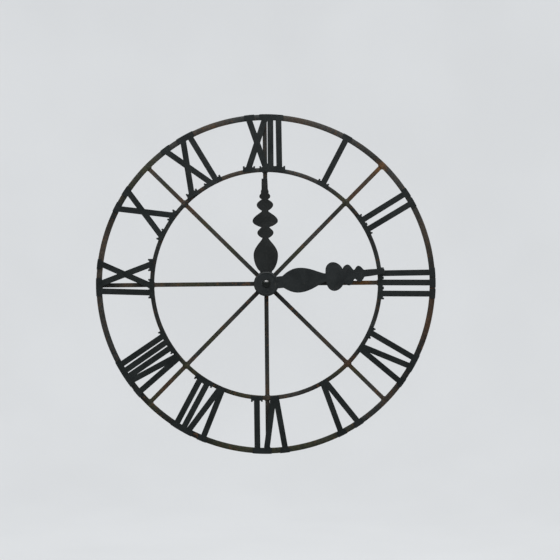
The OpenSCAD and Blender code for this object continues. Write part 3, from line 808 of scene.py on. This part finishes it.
# Welds of the wall fixings on the backs of the spokes
fixing_welds = bmesh.new()
bracket_low, bracket_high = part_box("hanger_bracket")
for z in (bracket_low.z, bracket_high.z):
    ends = [
        Vector((x, -(SPOKE_BACK - 0.5 * MM), z))
        for x in (bracket_low.x + 1.2 * MM, bracket_high.x - 1.2 * MM)
    ]
    bead(fixing_welds, ends[0], (ends[0] + ends[1]) / 2, ends[1], 1.3 * MM, dice)
spacer_low, spacer_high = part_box("wall_spacers")
pad_low, pad_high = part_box("spacer_pads")
SPACER_R = (pad_high.z - pad_low.z) / 2
for side in (-1, 1):
    x = pad_low.x + SPACER_R if side < 0 else pad_high.x - SPACER_R
    z = (pad_low.z + pad_high.z) / 2
    for quarter in range(4):
        turns = [math.radians(90 * quarter + t) for t in (4, 45, 86)]
        start, middle, end = (
            Vector(
                (
                    x + r * SPACER_R * math.cos(t),
                    -(SPOKE_BACK - 0.4 * MM),
                    z + r * SPACER_R * math.sin(t),
                )
            )
            for t, r in zip(turns, (1.0, 1.42, 1.0))
        )
        bead(fixing_welds, start, middle, end, dice.uniform(1.0, 1.4) * MM, dice)
piece_from("fixing_welds", fixing_welds, "frame", WELD_IRON, 60)

# A shallow pressed dish with a rolled ring near the edge of the minute hand's boss, as (radius,
# height above the hand's face)
COLLAR_R = (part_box("minute_collar")[1].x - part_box("minute_collar")[0].x) / 2
HAND_FRONT = Vector((CENTRE_X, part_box("minute_hand")[0].y, CENTRE_Z))
boss = bmesh.new()
boss_profile = [
    (COLLAR_R + 0.2 * MM, -0.3 * MM), (COLLAR_R + 0.3 * MM, 0.02 * MM), (20 * MM, 0.03 * MM),
    (28 * MM, 0.08 * MM), (33 * MM, 0.22 * MM), (35 * MM, 0.42 * MM), (36.2 * MM, 0.62 * MM),
    (37.2 * MM, 0.66 * MM), (38.2 * MM, 0.52 * MM), (38.9 * MM, 0.2 * MM), (39.3 * MM, 0.02 * MM),
    (39.4 * MM, -0.3 * MM),
]  # fmt: skip
lathe(boss, HAND_FRONT, (0, -1, 0), boss_profile, 128, closed=True)
piece_from("minute_hand_boss", boss, "minute_work", MINUTE_PAINT, 50)

# Grip ribs round the setting knob, with a raised rim and a turning arrow on its back
KNOB_LOW, KNOB_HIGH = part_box("setting_knob")
KNOB_X, KNOB_Z = (KNOB_LOW.x + KNOB_HIGH.x) / 2, (KNOB_LOW.z + KNOB_HIGH.z) / 2
KNOB_R = (KNOB_HIGH.x - KNOB_LOW.x) / 2
KNOB_BACK = -KNOB_HIGH.y


def ring_points(x, z, radius, start, stop, steps):
    """Points (x, z) of an arc, in degrees anticlockwise from +X."""
    return [
        (
            x + radius * math.cos(math.radians(start + (stop - start) * k / steps)),
            z + radius * math.sin(math.radians(start + (stop - start) * k / steps)),
        )
        for k in range(steps + 1)
    ]


grip = bmesh.new()
GRIP_RIBS = 30
for k in range(GRIP_RIBS):
    a = 2 * math.pi * k / GRIP_RIBS
    out = Vector((math.cos(a), 0, math.sin(a)))
    heart = Vector((KNOB_X, 0, KNOB_Z)) + out * KNOB_R
    ends = [heart - Vector((0, KNOB_BACK + d, 0)) for d in (0.25 * MM, 1.2 * MM, 2.35 * MM)]
    tube(grip, ends, [0.26 * MM, 0.32 * MM, 0.26 * MM], 8)
rim = ring_points(KNOB_X, KNOB_Z, KNOB_R - 0.7 * MM, 0, 360, 48)[:-1]
ridge(grip, rim, 0.8 * MM, KNOB_BACK, 0.35 * MM, loop=True)
arrow = ring_points(KNOB_X, KNOB_Z, KNOB_R - 2.6 * MM, 50, 290, 24)
ridge(grip, arrow, 0.6 * MM, KNOB_BACK, 0.25 * MM)
tip = Vector(arrow[0])
ahead = Vector((math.sin(math.radians(50)), -math.cos(math.radians(50))))
across = Vector((-ahead.y, ahead.x))
for side in (-1, 1):
    barb = tip - ahead * 1.3 * MM + across * side * 1.1 * MM
    nose = tip + ahead * 0.5 * MM
    ridge(grip, [tuple(nose), tuple(barb)], 0.6 * MM, KNOB_BACK, 0.25 * MM)
piece_from("knob_grip", grip, "knob", KNOB_PLASTIC, 40)

# Moulded relief on the back of the movement: rims, polarity marks, latches and a blank panel
CASE_LOW, CASE_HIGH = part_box("case_back")
CASE_BACK = -CASE_HIGH.y
CELL_LOW, CELL_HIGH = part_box("battery")
CASE_HALF = (CASE_HIGH.x - CASE_LOW.x) / 2
BAY_TOP = CELL_HIGH.z + 0.4 * MM
relief = bmesh.new()
edge = CASE_HALF - 1.3 * MM
outline = rounded_box(
    (CENTRE_X - edge, CENTRE_Z - edge), (CENTRE_X + edge, CENTRE_Z + edge), 1.6 * MM
)
ridge(relief, outline, 0.7 * MM, CASE_BACK, 0.45 * MM, loop=True)
panel_low = (CENTRE_X - 4 * MM, CENTRE_Z + 6 * MM)
panel_high = (CENTRE_X + 24 * MM, CENTRE_Z + 24 * MM)
ridge(relief, rounded_box(panel_low, panel_high, 1.5 * MM), 0.6 * MM, CASE_BACK, 0.3 * MM, True)
lip = [
    (CELL_LOW.x - 0.9 * MM, BAY_TOP + 0.45 * MM), (CELL_HIGH.x + 0.9 * MM, BAY_TOP + 0.45 * MM),
]  # fmt: skip
ridge(relief, lip, 0.5 * MM, CASE_BACK, 0.35 * MM)
for x, upright in ((CENTRE_X + 22 * MM, True), (CENTRE_X - 25 * MM, False)):
    z = BAY_TOP + 3.2 * MM
    ridge(relief, [(x - 1.3 * MM, z), (x + 1.3 * MM, z)], 0.7 * MM, CASE_BACK, 0.3 * MM)
    if upright:
        ridge(relief, [(x, z - 1.3 * MM), (x, z + 1.3 * MM)], 0.7 * MM, CASE_BACK, 0.3 * MM)
collar_ring = ring_points(KNOB_X, KNOB_Z, KNOB_R + 1.2 * MM, -35, 215, 40)
ridge(relief, collar_ring, 0.6 * MM, CASE_BACK, 0.45 * MM)
for x, z in ((-20, 20), (-20, 12), (12, -2), (20, 1)):
    mark = ring_points(CENTRE_X + x * MM, CENTRE_Z + z * MM, 1.5 * MM, 0, 360, 24)[:-1]
    ridge(relief, mark, 0.35 * MM, CASE_BACK, 0.15 * MM, loop=True)
for row in range(6):
    z = panel_low[1] + (4 + 2 * row) * MM
    ridge(
        relief, [(panel_high[0] - 6 * MM, z), (panel_high[0] - 2 * MM, z)],
        0.7 * MM, CASE_BACK, 0.25 * MM,
    )  # fmt: skip
piece_from("case_relief", relief, "frame", CASE_PLASTIC, 35)

# Latches that hold the two halves of the case, two on each side
latches = bmesh.new()
LATCH_LENGTH, LATCH_WIDTH, LATCH_RISE = 9 * MM, 7 * MM, 0.7 * MM
for quarter in range(4):
    turn = Matrix.Rotation(math.radians(90 * quarter), 3, "Y")
    for offset in (-13 * MM, 13 * MM):
        rows = []
        for depth, rise in (
            (CASE_BACK + 0.6 * MM, -0.2 * MM), (CASE_BACK + 0.8 * MM, 0.7 * LATCH_RISE),
            (CASE_BACK + 2.0 * MM, LATCH_RISE), (CASE_BACK + LATCH_LENGTH - 2 * MM, LATCH_RISE),
            (CASE_BACK + LATCH_LENGTH, -0.2 * MM),
        ):  # fmt: skip
            rows.append(
                [
                    latches.verts.new(
                        Vector((CENTRE_X, 0, CENTRE_Z))
                        + turn @ Vector((offset + w * LATCH_WIDTH, -depth, CASE_HALF + r))
                    )
                    for w, r in ((-0.5, -0.2 * MM), (-0.44, rise), (0.44, rise), (0.5, -0.2 * MM))
                ]
            )
        for a, b in zip(rows, rows[1:]):
            for k in range(4):
                latches.faces.new((a[k], a[(k + 1) % 4], b[(k + 1) % 4], b[k]))
        latches.faces.new(rows[0])
        latches.faces.new(rows[-1][::-1])
bmesh.ops.remove_doubles(latches, verts=latches.verts, dist=0.001 * MM)
piece_from("case_latches", latches, "frame", CASE_PLASTIC, 30)

# The dry cell: a jacket rolled over both ends, a pressed positive cap and a dished negative base.
# Its profile is in millimetres for a cell of the drawn size, and is scaled to the CAD's cell.
DRAWN_CELL_R, DRAWN_CELL_LENGTH = 7.25, 50.5
CELL_R = (CELL_HIGH.z - CELL_LOW.z) / 2
CELL_LENGTH = CELL_HIGH.x - CELL_LOW.x
CELL_START = Vector(
    (CELL_LOW.x, (CELL_LOW.y + CELL_HIGH.y) / 2, (CELL_LOW.z + CELL_HIGH.z) / 2)
)
cell_profile = [
    (0, 0.1), (4.9, 0.1), (5.1, 0), (5.5, 0), (5.8, 0.25), (6.1, 0.3), (6.3, 0.15), (6.9, 0.15),
    (7.15, 0.35), (7.25, 0.7), (7.25, 1.6), (7.18, 1.8), (7.18, 2.0), (7.25, 2.2), (7.25, 46.9),
    (7.17, 47.2), (7.17, 47.5), (7.25, 47.8), (7.25, 48.9), (7.15, 49.25), (6.9, 49.4),
    (6.3, 49.4), (6.1, 49.1), (3.6, 49.0), (3.2, 49.1), (2.85, 49.4), (2.72, 50.2), (2.5, 50.42),
    (2.1, 50.5), (0, 50.5),
]  # fmt: skip
cell = bmesh.new()
scale_r, scale_x = CELL_R / DRAWN_CELL_R, CELL_LENGTH / DRAWN_CELL_LENGTH
lathe(cell, CELL_START, (1, 0, 0), [(r * scale_r, x * scale_x) for r, x in cell_profile], 96)
dry_cell = piece_from("dry_cell", cell, "cell", JACKET, 40)
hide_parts("battery")

# ---------------------------------------------------------------- studio


def studio():
    """A pale floor that curves up all round, open at the top, with soft lights."""
    floor_z, radius, corner, height = -2.2, 7.5, 2.5, 7.8
    around, corner_steps = 96, 16
    profile = [(0.05, floor_z), (radius - corner, floor_z)]
    for k in range(1, corner_steps + 1):
        a = math.radians(90 * k / corner_steps)
        rise = corner * (1 - math.cos(a))
        profile.append((radius - corner + corner * math.sin(a), floor_z + rise))
    profile.append((radius, floor_z + height))
    shape = bmesh.new()
    rings = [
        [
            shape.verts.new(
                (r * math.cos(2 * math.pi * k / around), r * math.sin(2 * math.pi * k / around), z)
            )
            for k in range(around)
        ]
        for r, z in profile
    ]
    shape.faces.new(rings[0])
    for a, b in zip(rings, rings[1:]):
        for k in range(around):
            shape.faces.new((a[k], a[(k + 1) % around], b[(k + 1) % around], b[k]))
    bmesh.ops.recalc_face_normals(shape, faces=shape.faces)
    mesh = bpy.data.meshes.new("studio_floor")
    shape.to_mesh(mesh)
    shape.free()
    mesh.shade_smooth()
    floor = bpy.data.objects.new("studio_floor", mesh)
    bpy.context.scene.collection.objects.link(floor)
    p = Paint("studio_floor")
    tone = p.mix(p.span(p.noise(0.8, 2), 0.3, 0.7), rgb(164, 165, 166), rgb(170, 171, 172))
    p.shader.inputs["Emission Color"].default_value = (0.96, 0.98, 1.0, 1)
    p.shader.inputs["Emission Strength"].default_value = 0.42
    coat(floor, p.done(tone, 0.9, specular=0.1))

    world = bpy.data.worlds.new("studio")
    bpy.context.scene.world = world
    world.use_nodes = True
    sky = world.node_tree.nodes["Background"]
    sky.inputs["Color"].default_value = (0.95, 0.98, 1.0, 1)
    sky.inputs["Strength"].default_value = 0.7

    def panel(name, place, target, size, power, lit=True):
        """A soft light. With lit=False it shows only as a reflection."""
        data = bpy.data.lights.new(name, "AREA")
        data.shape = "RECTANGLE"
        data.size, data.size_y = size
        data.energy = power
        lamp = bpy.data.objects.new(name, data)
        bpy.context.scene.collection.objects.link(lamp)
        lamp.visible_diffuse = lit
        lamp.location = place
        lamp.rotation_euler = (Vector(target) - Vector(place)).to_track_quat("-Z", "Y").to_euler()

    heart = (CENTRE_X, 0, CENTRE_Z)
    panel("overhead", (-0.8, -1.6, 2.4), heart, (2.6, 1.8), 45)
    panel("front", (1.6, -5.5, 1.6), heart, (3.0, 2.4), 20)
    panel("rear", (1.5, 4.5, 2.5), heart, (3.0, 2.4), 30)
    panel("sheen", (0.0, -2.2, 2.3), (0.0, -2.1, -2), (7.0, 5.0), 520, lit=False)
    panel("spark", (0.15, -1.1, 2.2), (0.15, -1.1, -2), (2.6, 1.3), 420, lit=False)


def camera():
    """Nearly straight in front: a small yaw and pitch, with the clock a little left of centre and
    turned slightly in the frame. width is what the frame takes in at the clock's distance."""
    distance, width, sensor = 4.5, 1.8995, 36
    yaw, pitch, roll = math.radians(-1.25), math.radians(-0.75), math.radians(0.6)
    right_of_clock, above_clock = 0.0465, 0.0127
    to_camera = Vector(
        (math.sin(yaw) * math.cos(pitch), -math.cos(yaw) * math.cos(pitch), math.sin(pitch))
    )
    ahead = -to_camera
    right = ahead.cross(Vector((0, 0, 1))).normalized()
    up = right.cross(ahead)
    right, up = (
        right * math.cos(roll) - up * math.sin(roll),
        up * math.cos(roll) + right * math.sin(roll),
    )
    heart = Vector((CENTRE_X, -(RING_BACK + NUMERAL_BACK) / 2, CENTRE_Z))
    data = bpy.data.cameras.new("camera")
    data.sensor_width = sensor
    data.lens = sensor * distance / width
    data.clip_start, data.clip_end = 0.05, 50
    eye = bpy.data.objects.new("camera", data)
    bpy.context.scene.collection.objects.link(eye)
    place = heart + to_camera * distance + right * right_of_clock + up * above_clock
    turn = Matrix((right, up, to_camera)).transposed().to_4x4()
    eye.matrix_world = Matrix.Translation(place) @ turn
    bpy.context.scene.camera = eye


studio()
camera()
bpy.context.scene.view_settings.view_transform = "Standard"
